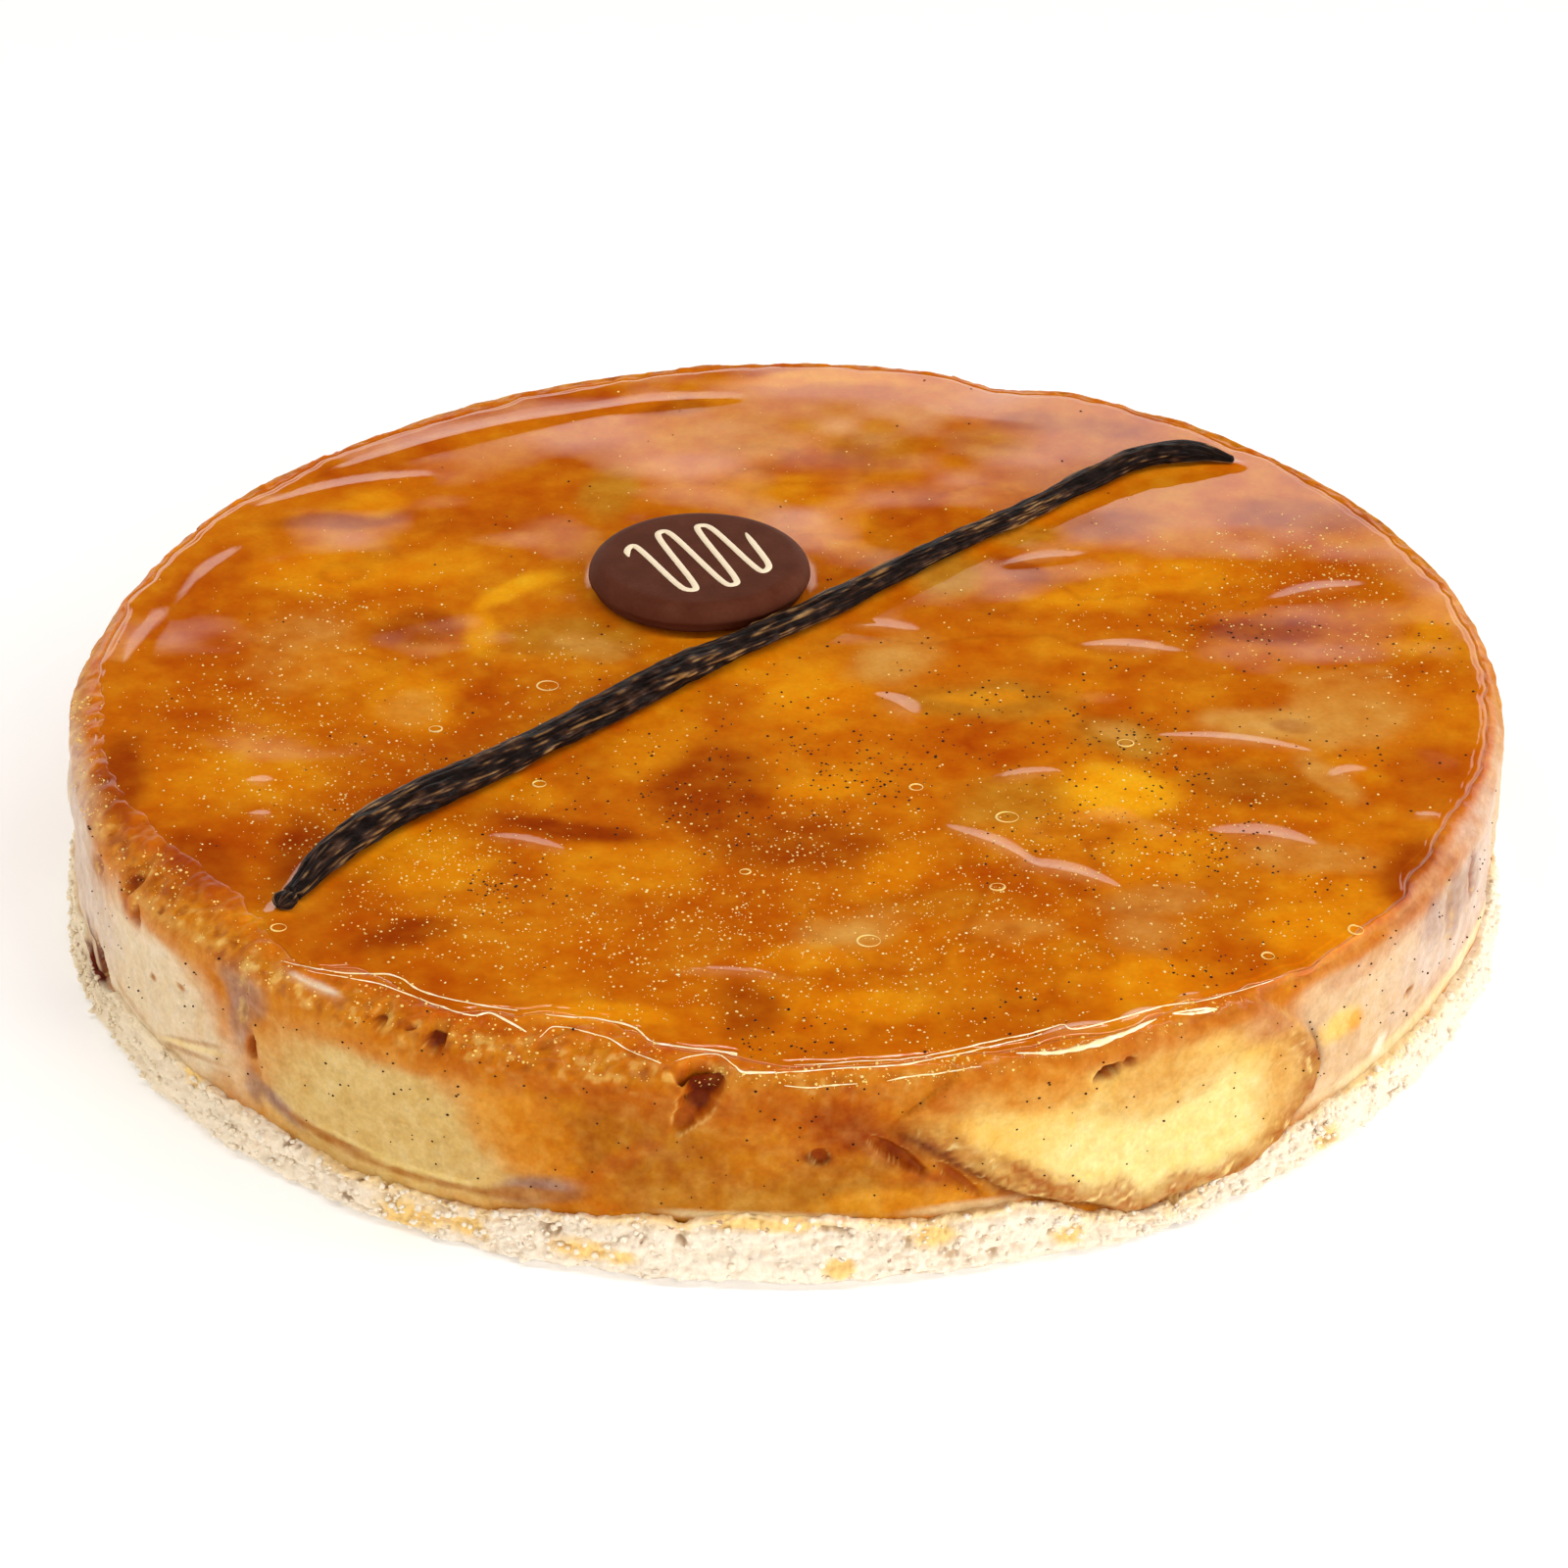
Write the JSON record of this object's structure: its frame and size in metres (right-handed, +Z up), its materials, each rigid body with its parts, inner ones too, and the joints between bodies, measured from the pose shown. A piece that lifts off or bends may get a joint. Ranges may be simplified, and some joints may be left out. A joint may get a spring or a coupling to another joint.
{
  "type": "tarte tatin",
  "caption": "Round tarte tatin on a crumbly shortbread base: deep layer of glazed caramelised apple, vanilla pod and chocolate disc on top.",
  "frame": {"origin": "centre of the tart's outline on the surface it stands on", "axes": "+Z up out of the glazed top; -Y is the side that faces the viewer, with the apple slices that show; +X to the viewer's right"},
  "size_m": [0.2042, 0.204, 0.0367],
  "materials": {
    "shortbread": "pale, dry and crumbly",
    "glazed_apple": "clear wet glaze over amber apple",
    "vanilla": "dark, ridged and slightly oily",
    "chocolate": "satin"
  },
  "bodies": {
    "root": {"pastry_base": "shortbread", "apple_filling": "glazed_apple", "vanilla_pod": "vanilla", "chocolate_disc": "chocolate"}
  },
  "joints": []
}
